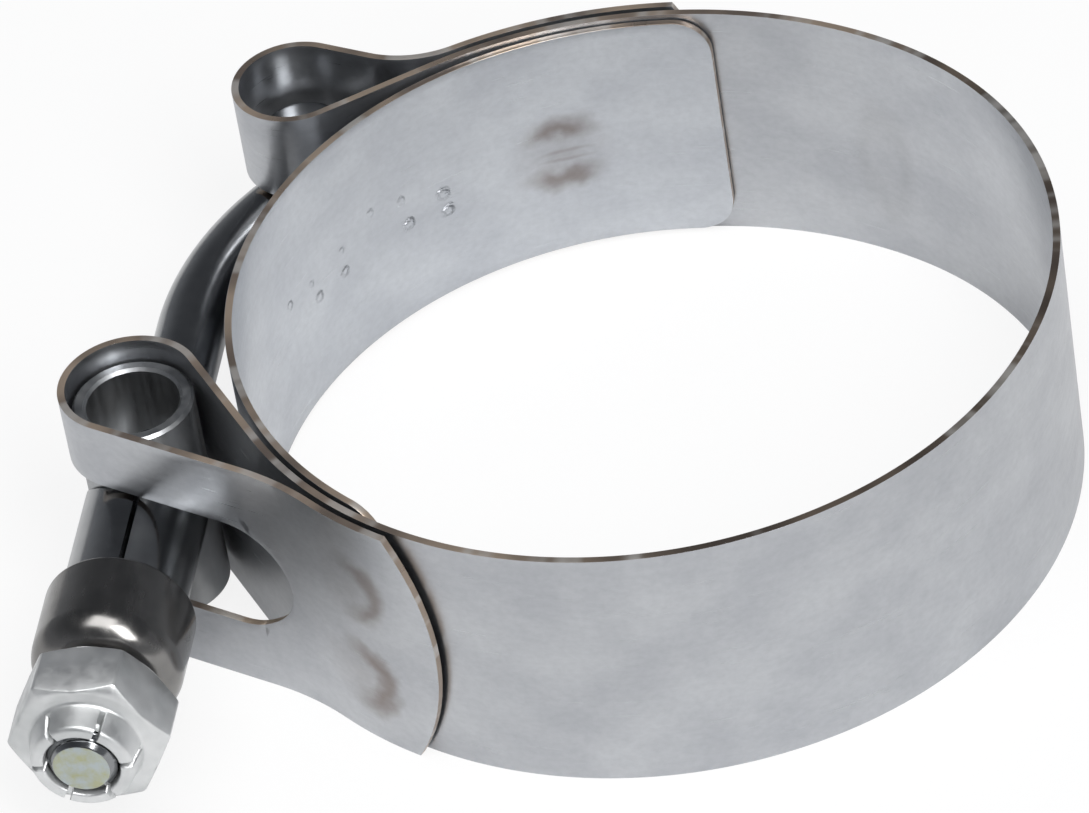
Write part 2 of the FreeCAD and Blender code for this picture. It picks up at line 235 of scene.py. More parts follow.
def tangent_line(first, second):
    """Ends of the straight run between two (centre, radius, turn) circles, keeping both turns."""
    start, start_radius, start_turn = first
    finish, finish_radius, finish_turn = second
    reach = finish - start
    across = (finish_turn * finish_radius - start_turn * start_radius) / np.hypot(*reach)
    heading = math.atan2(reach[1], reach[0]) - math.asin(max(-1.0, min(1.0, across)))
    left = np.array([-math.sin(heading), math.cos(heading)])
    return start - left * start_turn * start_radius, finish - left * finish_turn * finish_radius


class StrapPath:
    """Middle line of a bent strap: arcs of the given circles, joined by their common tangents."""

    def __init__(self, circles, start, finish):
        lines = [tangent_line(a, b) for a, b in zip(circles, circles[1:])]
        entries = [start] + [line[1] for line in lines]
        exits = [line[0] for line in lines] + [finish]
        self.runs = []
        self.starts = [0.0]
        for index, (centre, radius, turn) in enumerate(circles):
            first = math.atan2(*(entries[index] - centre)[::-1])
            last = math.atan2(*(exits[index] - centre)[::-1])
            sweep = (turn * (last - first)) % TURN
            self.runs.append(("arc", centre, radius, turn, first))
            self.starts.append(self.starts[-1] + sweep * radius)
            if index < len(lines):
                step = lines[index][1] - lines[index][0]
                self.runs.append(("line", lines[index][0], step))
                self.starts.append(self.starts[-1] + float(np.hypot(*step)))

    def at(self, along):
        """Points and left-hand normals at distances along the middle line."""
        points = np.zeros(along.shape + (2,))
        normals = np.zeros(along.shape + (2,))
        for index, run in enumerate(self.runs):
            low = self.starts[index] if index else -math.inf
            high = self.starts[index + 1] if index < len(self.runs) - 1 else math.inf
            here = (along >= low) & (along < high)
            distance = along[here] - self.starts[index]
            if run[0] == "arc":
                centre, radius, turn, first = run[1:]
                angle = first + turn * distance / radius
                spoke = np.stack([np.cos(angle), np.sin(angle)], -1)
                points[here] = centre + spoke * radius
                normals[here] = -turn * spoke
            else:
                origin, step = run[1:]
                length = max(np.hypot(*step), 1e-9)
                points[here] = origin + distance[:, None] * step / length
                normals[here] = np.array([-step[1], step[0]]) / length
        return points, normals

    def facing(self, run, degrees):
        """Distance along the line at which an arc faces an angle about its own centre."""
        radius, turn, first = self.runs[run][2:]
        return self.starts[run] + radius * ((turn * (math.radians(degrees) - first)) % TURN)

    def stations(self, low, high, bend_step, flat_step):
        """Distances along the line, close together in tight bends and wider apart elsewhere."""
        marks = []
        for index, run in enumerate(self.runs):
            first = max(low, self.starts[index])
            last = min(high, self.starts[index + 1])
            if last - first < 1e-6:
                continue
            step = min(flat_step, bend_step * run[2]) if run[0] == "arc" else flat_step
            count = max(2, int(math.ceil((last - first) / step)) + 1)
            marks.append(np.linspace(first, last, count))
        return np.unique(np.round(np.concatenate(marks), 5))


def slot_half_height(along, ends, half, depths):
    """Half height of a slot: a quarter of an ellipse at each end, and level between them."""
    low, high = sorted(ends)
    inside = (along > low) & (along < high)
    rounds = [1.0 - np.clip(np.abs(along - end) / depth, 0.0, 1.0)
              for end, depth in zip(ends, depths)]
    return np.where(inside, half * np.sqrt(1.0 - np.maximum(*rounds) ** 2), 0.0)


def end_marks(tip, depth, inward, count):
    """Stations at a round end, closer together towards its tip."""
    share = 1.0 - np.cos(np.linspace(0.0, math.pi / 2.0, count))
    return tip + inward * depth * share


def unmoved(along, height):
    """Shift of a sheet whose ends stay straight."""
    return np.zeros_like(height)


def strap_surface(path, along, gap, edge, shift, rows):
    """Sheet of a strap as points and quads, split where a slot runs.

    A point lies at P(s) + z up, with s the distance along the middle line, shifted by
    shift(s, z), and z running in even steps from the slot's edge gap(s) to the sheet's edge(s).
    """
    share = np.linspace(0.0, 1.0, rows)
    points, charts = [], []
    for side in (1.0, -1.0):
        height = side * (gap[:, None] + (edge - gap)[:, None] * share[None, :])
        moved = along[:, None] + shift(along[:, None], height)
        flat = path.at(moved)[0]
        points.append(np.concatenate([flat, height[..., None]], -1).reshape(-1, 3))
        charts.append(np.stack([moved, height], -1).reshape(-1, 2))
    count = len(along)
    upper = np.arange(count * rows).reshape(count, rows)
    lower = upper + count * rows
    shared = gap < 1e-9
    lower[shared, 0] = upper[shared, 0]
    up = [upper[:-1, :-1], upper[1:, :-1], upper[1:, 1:], upper[:-1, 1:]]
    down = [lower[:-1, :-1], lower[:-1, 1:], lower[1:, 1:], lower[1:, :-1]]
    faces = np.concatenate([np.stack(corners, -1).reshape(-1, 4) for corners in (up, down)])
    used, faces = np.unique(faces, return_inverse=True)
    return np.concatenate(points)[used], faces.reshape(-1, 4), np.concatenate(charts)[used]


def sheet_object(name, surface, thick, edge_round, materials):
    """Gives a strap surface its thickness, its sheared rim and its worn edges."""
    points, faces, charts = surface
    obj = make_object(name, points * MM, faces, materials, charts)
    solid = obj.modifiers.new("Sheet thickness", "SOLIDIFY")
    solid.thickness = thick * MM
    solid.offset = 0.0
    solid.use_even_offset = True
    solid.material_offset_rim = 1
    soften(obj, edge_round, 50.0)
    return obj


# Turned and swept meshes

def rounded(corners, radii, steps):
    """Closed outline whose corners P become arcs about P + (u + v) r / sin(u, v)."""
    points = []
    corners = np.asarray(corners, float)
    for index, (corner, radius) in enumerate(zip(corners, radii)):
        before = corners[index - 1] - corner
        after = corners[(index + 1) % len(corners)] - corner
        before /= np.hypot(*before)
        after /= np.hypot(*after)
        angle = math.acos(np.clip(before @ after, -1.0, 1.0))
        middle = corner + (before + after) * radius / math.sin(angle)
        start = corner + before * radius / math.tan(angle / 2.0) - middle
        finish = corner + after * radius / math.tan(angle / 2.0) - middle
        share = np.linspace(0.0, 1.0, steps)[:, None]
        sweep = math.pi - angle
        spokes = np.sin((1.0 - share) * sweep) * start + np.sin(share * sweep) * finish
        points.append(middle + spokes / math.sin(sweep))
    outline = np.concatenate(points)
    return np.concatenate([outline, outline[:1]])


def around_bolt(reach, radius, turns):
    """Points x = r cos a, y = -t, z = r sin a about the bolt, at reach t from the trunnion."""
    shape = np.broadcast(reach, radius, turns).shape
    points = np.zeros(shape + (3,))
    points[..., 0] = NEAR_LOOP[0] + radius * np.cos(turns)
    points[..., 1] = NEAR_LOOP[1] - reach
    points[..., 2] = radius * np.sin(turns)
    return points


def turned_object(name, points, materials):
    """Mesh of a grid of points whose columns close round an axis."""
    rows, columns = points.shape[:2]
    obj = make_object(name, points.reshape(-1, 3) * MM, ring_quads(rows, columns), materials)
    flatten_shading(obj)
    return obj


# Material helpers

def add(tree, kind, values=None, feeds=None, **attributes):
    """Adds a node, sets its attributes and its inputs, and links what feeds it."""
    node = tree.nodes.new(kind)
    for name, value in attributes.items():
        setattr(node, name, value)
    for socket, value in (values or {}).items():
        node.inputs[socket].default_value = value
    for socket, source in (feeds or {}).items():
        tree.links.new(source, node.inputs[socket])
    return node


def give(tree, socket, term):
    """Sets a socket to a number or colour, or links another socket to it."""
    if isinstance(term, (int, float, tuple)):
        socket.default_value = term
    else:
        tree.links.new(term, socket)


def new_material(name, values):
    """Material with one principled shader, whose even values are set on the shader itself."""
    material = bpy.data.materials.new(name)
    material.use_nodes = True
    tree = material.node_tree
    shader = tree.nodes["Principled BSDF"]
    for socket, value in values.items():
        shader.inputs[socket].default_value = value
    return material, tree, shader


def arithmetic(tree, operation, *terms):
    """Math node whose terms are numbers or sockets."""
    node = add(tree, "ShaderNodeMath", operation=operation)
    for socket, term in zip(node.inputs, terms):
        give(tree, socket, term)
    return node.outputs[0]


def blend_colours(tree, factor, first, second):
    """Mix of two colours, each a code's RGBA or a socket."""
    node = add(tree, "ShaderNodeMix", data_type="RGBA")
    for socket, term in ((0, factor), (6, first), (7, second)):
        give(tree, node.inputs[socket], term)
    return node.outputs[2]


def spread(tree, value, low, high, new_low, new_high, smooth=False):
    """Value carried from one range to another and kept inside it."""
    node = add(tree, "ShaderNodeMapRange", interpolation_type="SMOOTHSTEP" if smooth else "LINEAR",
               values={"From Min": low, "From Max": high, "To Min": new_low, "To Max": new_high},
               feeds={"Value": value})
    return node.outputs["Result"]


def noise(tree, vector, scale, stretch, detail, roughness):
    """Noise over a surface, stretched along its axes."""
    mapping = add(tree, "ShaderNodeMapping", values={"Scale": stretch}, feeds={"Vector": vector})
    node = add(tree, "ShaderNodeTexNoise",
               values={"Scale": scale, "Detail": detail, "Roughness": roughness},
               feeds={"Vector": mapping.outputs["Vector"]})
    return node.outputs["Fac"]


def wobbled(tree, reach, pattern, amount):
    """Distance made uneven by a noise pattern, by up to an amount each way."""
    return arithmetic(tree, "ADD", reach, spread(tree, pattern, 0.3, 0.7, -amount, amount))


def offset_from(tree, axes, along, height, wide, tall):
    """Offsets along and up from a spot on the blank, in its half sizes, and their length."""
    offsets = [
        arithmetic(tree, "DIVIDE", arithmetic(tree, "SUBTRACT", axes.outputs[axis], spot), half)
        for axis, spot, half in ((0, along, wide), (1, height, tall))]
    squares = [arithmetic(tree, "MULTIPLY", offset, offset) for offset in offsets]
    return (*offsets, arithmetic(tree, "SQRT", arithmetic(tree, "ADD", *squares)))


def heat_mark(tree, colour, axes, haze, mark):
    """Brown annealing ring round a weld, stronger to one side or above and below.

    The ring is strongest at 0.8 of the mark's half sizes and fades over 0.5 of them, and a
    weaker core fills it.
    """
    along, height, wide, tall, strength, code, sideways, upright = mark
    across, upward, reach = offset_from(tree, axes, along, height, wide, tall)
    wobble = wobbled(tree, reach, haze, 0.12)
    away = arithmetic(tree, "ABSOLUTE", arithmetic(tree, "SUBTRACT", wobble, 0.8))
    ring = spread(tree, away, 0.0, 0.5, strength, 0.0, True)
    safe = arithmetic(tree, "MAXIMUM", reach, 0.05)
    lean = arithmetic(tree, "MULTIPLY", arithmetic(tree, "DIVIDE", across, safe), sideways)
    steep = arithmetic(tree, "DIVIDE", upward, safe)
    rise = arithmetic(tree, "SUBTRACT", arithmetic(tree, "MULTIPLY", steep, steep), 0.5)
    lean = arithmetic(tree, "ADD", lean, arithmetic(tree, "MULTIPLY", rise, upright))
    weight = spread(tree, lean, -0.5, 0.5, 0.12, 1.0)
    core = spread(tree, reach, 0.0, 0.9, strength * 0.3, 0.0, True)
    factor = arithmetic(tree, "ADD", arithmetic(tree, "MULTIPLY", ring, weight), core)
    return blend_colours(tree, factor, colour, linear(code))


def strap_material(name, base, light, marks, dents):
    """Rolled stainless sheet: fine streaks along it, soft clouding, weld heat marks and dents.

    The map of the sheet's blank gives the distance along it and the height on it in
    millimetres, and the relief of the surface is in millimetres too.
    """
    streak_relief, grain_relief = 0.0016, 0.0022
    material, tree, shader = new_material(
        name, {"Metallic": 1.0, "Anisotropic": 0.6, "Anisotropic Rotation": 0.25})
    chart = add(tree, "ShaderNodeUVMap", uv_map="Blank").outputs["UV"]
    axes = add(tree, "ShaderNodeSeparateXYZ", feeds={"Vector": chart})
    streaks = noise(tree, chart, 1.0, (0.12, 7.0, 1.0), 3.0, 0.6)
    grain = noise(tree, chart, 1.0, (1.6, 2.2, 1.0), 3.0, 0.6)
    cloud = noise(tree, chart, 1.0, (0.14, 0.2, 1.0), 3.0, 0.55)
    haze = noise(tree, chart, 1.0, (0.5, 0.5, 1.0), 2.0, 0.5)
    patchy = spread(tree, cloud, 0.35, 0.65, 0.0, 1.0)
    colour = blend_colours(tree, patchy, linear(base), linear(light))
    dark = spread(tree, grain, 0.35, 0.7, 0.0, 0.12)
    colour = blend_colours(tree, dark, colour, linear("6F7176"))
    for mark in marks:
        colour = heat_mark(tree, colour, axes, haze, mark)
    tree.links.new(colour, shader.inputs["Base Color"])
    rough = spread(tree, streaks, 0.3, 0.7, 0.27, 0.36)
    tree.links.new(rough, shader.inputs["Roughness"])
    relief = arithmetic(tree, "ADD", arithmetic(tree, "MULTIPLY", streaks, streak_relief),
                        arithmetic(tree, "MULTIPLY", grain, grain_relief))
    for along, height, size, depth in dents:
        reach = offset_from(tree, axes, along, height, size, size)[2]
        hollow = spread(tree, wobbled(tree, reach, grain, 0.25), 0.2, 1.0, depth, 0.0, True)
        relief = arithmetic(tree, "ADD", relief, hollow)
    bump = add(tree, "ShaderNodeBump", values={"Strength": 1.0, "Distance": MM},
               feeds={"Height": relief})
    tree.links.new(bump.outputs["Normal"], shader.inputs["Normal"])
    tangent = add(tree, "ShaderNodeTangent", direction_type="UV_MAP", uv_map="Blank")
    tree.links.new(tangent.outputs["Tangent"], shader.inputs["Tangent"])
    return material


def rim_material(name, dark_from, dark_to):
    """Sheared edge of a sheet: copper and grey tone at random, painted white glints, and a painted
    dark reflection between two distances.

    The painted dark reflection comes in and goes out softly, over the fades on both sides of each
    distance.
    """
    fade_in, fade_out = 12.0, 8.0
    material, tree, shader = new_material(name, {"Metallic": 0.75})
    chart = add(tree, "ShaderNodeUVMap", uv_map="Blank").outputs["UV"]
    along = add(tree, "ShaderNodeSeparateXYZ", feeds={"Vector": chart}).outputs[0]
    patches = noise(tree, chart, 1.0, (0.12, 0.0, 1.0), 2.0, 0.5)
    glint_speckle = noise(tree, chart, 1.0, (0.35, 0.8, 1.0), 2.0, 0.5)
    warm = spread(tree, patches, 0.4, 0.6, 0.0, 1.0, True)
    tint = blend_colours(tree, warm, linear("8F8278"), linear("D2BEAA"))
    # Painted dark reflection: a dark band painted into the edge's colour between two distances
    entering = spread(tree, along, dark_from - fade_in, dark_from + fade_in, 0.0, 0.7, True)
    leaving = spread(tree, along, dark_to - fade_out, dark_to + fade_out, 1.0, 0.0, True)
    painted_dark_reflection = arithmetic(tree, "MULTIPLY", entering, leaving)
    tint = blend_colours(tree, painted_dark_reflection, tint, linear("4C443E"))
    # Painted glints: white specks painted into the edge's colour, on the speckle that also sets its
    # roughness
    tint = blend_colours(tree, spread(tree, glint_speckle, 0.5, 0.66, 0.0, 0.6, True), tint,
                         linear("EAE8E4"))
    tree.links.new(tint, shader.inputs["Base Color"])
    tree.links.new(spread(tree, glint_speckle, 0.3, 0.7, 0.26, 0.42), shader.inputs["Roughness"])
    return material


def metal_material(name, base, other, rough, stretch, relief, metallic=1.0, patch=4.5):
    """Bare metal with fine tool or draw marks along one axis and patches of another tone.

    The marks' relief and the size of the patches are in millimetres.
    """
    material, tree, shader = new_material(name, {"Metallic": metallic})
    chart = add(tree, "ShaderNodeTexCoord").outputs["Object"]
    marks = noise(tree, chart, 1.0 / MM, stretch, 3.0, 0.6)
    cloud = noise(tree, chart, 1.0 / (patch * MM), (1.0, 1.0, 1.0), 3.0, 0.6)
    patchy = spread(tree, cloud, 0.35, 0.65, 0.0, 1.0)
    colour = blend_colours(tree, patchy, linear(base), linear(other))
    tree.links.new(colour, shader.inputs["Base Color"])
    roughness = spread(tree, marks, 0.3, 0.7, rough * 0.75, rough * 1.3)
    tree.links.new(roughness, shader.inputs["Roughness"])
    bump = add(tree, "ShaderNodeBump", values={"Strength": 0.25, "Distance": relief * MM},
               feeds={"Height": marks})
    tree.links.new(bump.outputs["Normal"], shader.inputs["Normal"])
    return material


def once(name, maker, *arguments):
    """Material by name, made the first time that it is asked for."""
    return bpy.data.materials.get(name) or maker(name, *arguments)


def polished():
    """Polished stainless of the bolt and sleeve, which mirrors dark and light in streaks."""
    return once("Polished stainless, turned", metal_material,
                "9A9B9C", "86888A", 0.17, (1.0, 0.05, 1.0), 0.01)


def drawn():
    """Deep drawn stainless of the thimble, with a warm tinge."""
    return once("Drawn stainless, burnished", metal_material,
                "8C8A88", "7A7977", 0.22, (1.0, 0.3, 1.0), 0.01)


def zinc():
    """Bright zinc plate of the nut, whose fine crystals scatter part of the light."""
    return once("Bright zinc plate on steel", metal_material,
                "E0E1E1", "CACCCC", 0.42, (1.0, 1.0, 1.0), 0.008, 0.85)


def passivated():
    """Passivated end of the bolt, grey with small yellow-green stains."""
    return once("Passivated steel, cut end", metal_material,
                "B2BABB", "AEB092", 0.4, (1.0, 1.0, 1.0), 0.03, 0.8, 0.9)


def turned():
    """Turned stainless of the trunnion, duller than the bolt."""
    return once("Turned stainless, satin", metal_material,
                "B4B5B6", "9C9EA0", 0.4, (1.0, 1.0, 0.05), 0.01)


def sheared(dark_from, dark_to):
    """Sheared edge of the strap, with a painted dark reflection between two distances along it."""
    return once("Sheared stainless edge", rim_material, dark_from, dark_to)


def sheared_bridge(length):
    """Sheared edge of the bridge, bright all along, as its painted dark reflection starts past its
    end.
    """
    return once("Sheared bridge edge", rim_material, length * 2.0, length * 3.0)


# Settings

class ClampStrapSettings(bpy.types.PropertyGroup):
    """Sizes of the strap and its bridge, in millimetres."""

    width: bpy.props.FloatProperty(
        name="Width", description="Width of the strap, mm", default=19.05, min=5.0)
    thick: bpy.props.FloatProperty(
        name="Thickness", description="Thickness of the strap, mm", default=0.5, min=0.2)
    grip: bpy.props.FloatProperty(
        name="Grip radius", description="Inner radius of the bridge, mm", default=26.8)
    bridge: bpy.props.FloatProperty(
        name="Bridge", description="Thickness of the bridge, mm", default=0.5, min=0.1)
    lap: bpy.props.FloatProperty(
        name="Lap gap", description="Gap between bridge and strap, mm", default=0.05)
    leaf_gap: bpy.props.FloatProperty(
        name="Leaf gap", description="Gap under the folded ends, mm", default=0.38)
    bulge: bpy.props.FloatProperty(
        name="Leaf bulge", description="Rise of the rounded leaf ends, mm", default=2.7)
    edge: bpy.props.FloatProperty(
        name="Edge round", description="Worn radius of the edges, mm", default=0.12)


class ClampStageSettings(bpy.types.PropertyGroup):
    """Colour of the stage's floor, and the camera's lens."""

    floor: bpy.props.FloatVectorProperty(
        name="Floor", description="Colour of the floor and backdrop", subtype="COLOR", size=4,
        min=0.0, max=1.0, default=(0.94, 0.94, 0.94, 1.0))
    focal: bpy.props.FloatProperty(
        name="Focal length", description="Focal length of the camera, mm",
        default=259.97, min=10.0)


# The strap's own path

def ring_arcs(settings):
    """Middle line of the ring: four arcs that meet smoothly, a little out of round."""
    middle = settings.grip + settings.bridge + settings.lap + settings.thick / 2.0
    centre = RING_CENTRE
    arcs = [(centre, middle, LEFT)]
    for before, ease, joint in zip(RING_EASES, RING_EASES[1:], RING_JOINTS):
        centre = centre + polar(before - ease, joint)
        arcs.append((centre, middle + ease, LEFT))
    return arcs


def strap_path(settings):
    """Middle line of the whole strap, from the end of the near leaf to that of the far one."""
    ring = ring_arcs(settings)
    half = settings.thick / 2.0
    step = settings.thick + settings.leaf_gap
    leaves = [(arc[0], arc[1] + step, RIGHT) for arc in (ring[0], ring[-1])]
    pinches = [(leaf[0] + polar(leaf[1] + radius, angle), radius, LEFT)
               for leaf, radius, angle in zip(leaves, PINCH_RADII, LAND_ANGLES)]
    tips = [leaf[0] + polar(leaf[1], angle) for leaf, angle in zip(leaves, LEAF_ANGLES)]
    circles = [leaves[0], pinches[0], (NEAR_LOOP, NEAR_HOLE + half, RIGHT), *ring,
               (FAR_LOOP, FAR_HOLE + half, RIGHT), pinches[1], leaves[1]]
    return StrapPath(circles, *tips)


class CLAMP_OT_strap(bpy.types.Operator):
    """Bends the slotted strap into the ring and its two folded loops"""

    bl_idname = "clamp.strap"
    bl_label = "Strap"

    def execute(self, context):
        settings = context.scene.clamp_strap
        path = strap_path(settings)
        length = path.starts[-1]
        near_ends = (path.facing(NEAR_FOLD, NEAR_SLOT_ANGLE),
                     path.starts[NEAR_FOLD] - NEAR_SLOT_OFF)
        far_ends = (path.facing(FAR_FOLD, FAR_SLOT_ANGLE),
                    path.starts[FAR_FOLD + 1] + FAR_SLOT_OFF)
        slots = (near_ends, *NEAR_SLOT), (far_ends, *FAR_SLOT)
        stations = [path.stations(0.0, length, STRAP_BEND_STEP, FLAT_STEP)]
        for ends, _, depths, count in slots:
            for end, other, depth in zip(ends, ends[::-1], depths):
                stations.append(end_marks(end, depth, math.copysign(1.0, other - end), count))
        along = np.unique(np.round(np.concatenate(stations), 4))
        gap = sum(slot_half_height(along, *slot[:3]) for slot in slots)
        nose = settings.width / 2.0
        nose_radius = (nose ** 2 + settings.bulge ** 2) / (2.0 * settings.bulge)

        def shift(place_along, height):
            """Draws both leaf ends out to an arc, and the sheet behind them less and less."""
            rise = np.sqrt(nose_radius ** 2 - height ** 2) - nose_radius + settings.bulge
            start = np.clip(1.0 - place_along / NOSE_REACH, 0.0, 1.0)
            finish = np.clip(1.0 - (length - place_along) / NOSE_REACH, 0.0, 1.0)
            return rise * (finish - start)

        edge = np.full(len(along), nose)
        surface = strap_surface(path, along, gap, edge, shift, STRAP_ROWS)
        marks = [*STRAP_WELDS, (path.facing(CLOSED_RING, SMUDGE_ANGLE), *SMUDGE)]
        material = once("Rolled stainless strap, mill finish", strap_material,
                        "BFC1C4", "B2B4B8", marks, [])
        # The rim's painted dark reflection runs from the near ring's side to the start of the far
        # ring
        rim = sheared(path.facing(NEAR_RING, 270.0), path.starts[FAR_RING])
        obj = sheet_object("strap", surface, settings.thick, settings.edge, [material, rim])
        place(obj, "clamp_band", "strap_stainless", "band")
        return {"FINISHED"}


class CLAMP_OT_bridge(bpy.types.Operator):
    """Rolls the thin inner sheet that closes the gap between the loops"""

    bl_idname = "clamp.bridge"
    bl_label = "Bridge"

    def execute(self, context):
        settings = context.scene.clamp_strap
        radius = settings.grip + settings.bridge / 2.0
        path = StrapPath([(np.zeros(2), radius, LEFT)],
                         *(polar(radius, angle) for angle in BRIDGE_ANGLES))
        length = path.starts[-1]
        along = np.unique(np.round(np.concatenate([
            path.stations(0.0, length, BRIDGE_BEND_STEP, FLAT_STEP),
            end_marks(0.0, BRIDGE_CORNER, 1.0, 10),
            end_marks(length, BRIDGE_CORNER, -1.0, 10)]), 4))
        near_end = np.clip(1.0 - np.minimum(along, length - along) / BRIDGE_CORNER, 0.0, 1.0)
        corner = BRIDGE_CORNER * (1.0 - np.sqrt(1.0 - near_end ** 2))
        edge = settings.width / 2.0 - BRIDGE_INSET - corner
        gap = np.zeros(len(along))
        surface = strap_surface(path, along, gap, edge, unmoved, BRIDGE_ROWS)
        material = once("Rolled stainless bridge, mill finish", strap_material,
                        "C6C9CD", "BABDC2", BRIDGE_WELD, BRIDGE_DENTS)
        obj = sheet_object("bridge_sheet", surface, settings.bridge, BRIDGE_EDGE,
                           [material, sheared_bridge(length)])
        place(obj, "clamp_band", "strap_stainless", "bridge")
        return {"FINISHED"}


class CLAMP_OT_thimble(bpy.types.Operator):
    """Draws the thimble with its rounded shoulder and lip"""

    bl_idname = "clamp.thimble"
    bl_label = "Thimble"

    def execute(self, context):
        lip, crown, inside = 11.9, 19.1, 18.5
        outer, fit, bore = 5.05, 4.22, 2.74
        lip_rounds, shoulder, bore_rounds, inner_shoulder = (0.12, 0.3), 2.28, (0.02, 0.1), 1.0
        outline = rounded(
            [(lip, fit), (lip, outer), (crown, outer), (crown, bore), (inside, bore), (inside, fit)],
            [*lip_rounds, shoulder, *bore_rounds, inner_shoulder], 13)
        points = around_bolt(outline[:, :1], outline[:, 1:], around(144))
        obj = turned_object("thimble_cup", points, [drawn()])
        place(obj, "thimble_group", "turned_stainless", "thimble")
        return {"FINISHED"}


class CLAMP_OT_nut(bpy.types.Operator):
    """Forges the lock nut with its slotted, crimped collar"""

    bl_idname = "clamp.nut"
    bl_label = "Lock nut"

    def execute(self, context):
        # Heights start at the nut's back, except the place of the back itself along the bolt
        back, thick, tip = 20.25, 4.2, 6.3
        root, floor = thick - 0.6, thick + 0.4
        lean = math.radians(3.0)
        slot_half = 0.2
        face = NUT_WIDTH / 2.0
        corner = NUT_WIDTH / math.sqrt(3.0)
        turns = around(720)
        sector = (turns - lean) % (TURN / 6.0)
        hexagon = np.minimum(face / np.cos(sector - TURN / 12.0), corner - 0.06)
        drop = (hexagon - face) * math.tan(math.radians(30.0))
        rows = [
            (0.5, 2.5), (0.0, 3.0), (0.0, face - 0.1), (0.02, face),
            (drop + 0.03, hexagon - 0.06), (drop + 0.1, hexagon),
            (thick - 0.1 - drop, hexagon), (thick - 0.02 - drop, hexagon - 0.05),
            (thick, face - 0.05), (thick + 0.02, face - 0.3)]
        steps = 7
        collar = [(thick, 4.3), (thick + 0.15, 3.75), (tip, 3.35), (tip, 2.5),
                  (root, 2.5), (root, 4.3)]
        outline = rounded(collar, [0.1, 0.35, 0.4, 0.2, 0.1, 0.1], steps)
        slots = np.minimum(sector, TURN / 6.0 - sector)
        for height, radius in outline[steps:4 * steps]:
            cut = (slots * max(radius, 2.6) < slot_half) & (height > floor)
            rows.append((np.where(cut, np.minimum(height, floor), height), radius))
        rows.append((thick + 1.0, 2.42))
        reach, radius = (np.concatenate([np.broadcast_to(row[part], turns.shape) for row in rows])
                         for part in (0, 1))
        obj = turned_object("hexagon_nut", around_bolt(reach + back, radius, turns), [zinc()])
        place(obj, "nut", "zinc_plate", "lock_nut")
        return {"FINISHED"}


class CLAMP_OT_bolt(bpy.types.Operator):
    """Threads and bends the T-bolt and forges its cross-bar head"""

    bl_idname = "clamp.bolt"
    bl_label = "T-bolt"

    def execute(self, context):
        turns = around(96)
        shank = self.shank_points(turns)
        rows, columns = shank.shape[:2]
        faces = ring_quads(rows, columns)[:, ::-1]
        obj = make_object("bent_shank", shank.reshape(-1, 3) * MM, faces,
                          [polished(), passivated()])
        index = np.zeros(len(faces), np.int32)
        index[:columns * 3] = 1
        obj.data.polygons.foreach_set("material_index", index)
        place(obj, "bolt_group", "turned_stainless", "t_bolt")
        head = self.head_points(turns)
        bar = make_object("cross_bar", head.reshape(-1, 3) * MM,
                          ring_quads(*head.shape[:2])[:, ::-1], [polished()])
        place(bar, "bolt_group", "turned_stainless", "t_bolt")
        return {"FINISHED"}

    def shank_points(self, turns):
        """Domed end, thread, straight run and bend, ring by ring from the nut's end."""
        bend, end, threaded = 22.4, 26.65, 17.0
        groove, run_out, point = 0.45, 1.5, 0.55
        middle = NEAR_LOOP + np.array([bend, 0.0])
        middle[1] = FAR_LOOP[1] - math.sqrt(bend ** 2 - (FAR_LOOP[0] - middle[0]) ** 2)
        straight = end - NEAR_LOOP[1] + middle[1]
        sweep = math.asin((FAR_LOOP[1] - middle[1]) / bend)
        along = np.unique(np.concatenate([
            np.arange(0.0, threaded, PITCH / 10.0), np.linspace(threaded, straight, 12),
            np.linspace(straight, straight + bend * sweep, 60)]))[:, None]
        wave = np.abs((along / PITCH + turns / TURN) % 1.0 - 0.5) * 2.0
        depth = (groove * np.clip((threaded - along) / run_out, 0.0, 1.0)
                 * np.clip(wave * 1.25 - 0.1, 0.0, 1.0))
        chamfer = np.clip(point - along, 0.0, point)
        radius = BOLT_RADIUS - np.maximum(depth, chamfer)
        angle = math.pi - np.clip(along - straight, 0.0, None) / bend
        spoke = np.stack([np.cos(angle), np.sin(angle)], -1)
        line = np.stack([np.full_like(along, NEAR_LOOP[0]), NEAR_LOOP[1] - end + along], -1)
        centre = np.where((along < straight)[..., None], line, middle + bend * spoke)
        points = np.concatenate([centre - spoke * (radius * np.cos(turns))[..., None],
                                 (radius * np.sin(turns))[..., None]], -1)
        dome = np.array([(0.06, 0.0), (0.05, 1.2), (0.02, 1.8)])
        return np.concatenate([around_bolt(end + dome[:, :1], dome[:, 1:], turns), points])

    def head_points(self, turns):
        """Round bar across the far loop, with rounded rims and a point at each pole."""
        half, radius, pole = 5.5, 3.0, 0.02
        outline = rounded([(-half, pole), (-half, radius), (half, radius), (half, pole)],
                          [0.01, 0.5, 0.5, 0.01], 7)[:-1]
        height, radii = outline[:, :1], outline[:, 1:]
        return np.stack([FAR_LOOP[0] + radii * np.cos(turns), FAR_LOOP[1] + radii * np.sin(turns),
                         height + 0.0 * turns], -1)


class CLAMP_OT_hardware(bpy.types.Operator):
    """Dresses the solid trunnion and sleeve and breaks their edges"""

    bl_idname = "clamp.hardware"
    bl_label = "Trunnion and sleeve"

    def execute(self, context):
        finishes = {"lock_nut": zinc, "trunnion": turned}
        for name in NODES:
            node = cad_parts[name]
            node.data.materials.clear()
            node.data.materials.append(finishes.get(name, polished)())
        for name, width in (("trunnion", 0.12), ("spacer_sleeve", 0.15)):
            soften(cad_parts[name], width, 35.0)
        return {"FINISHED"}


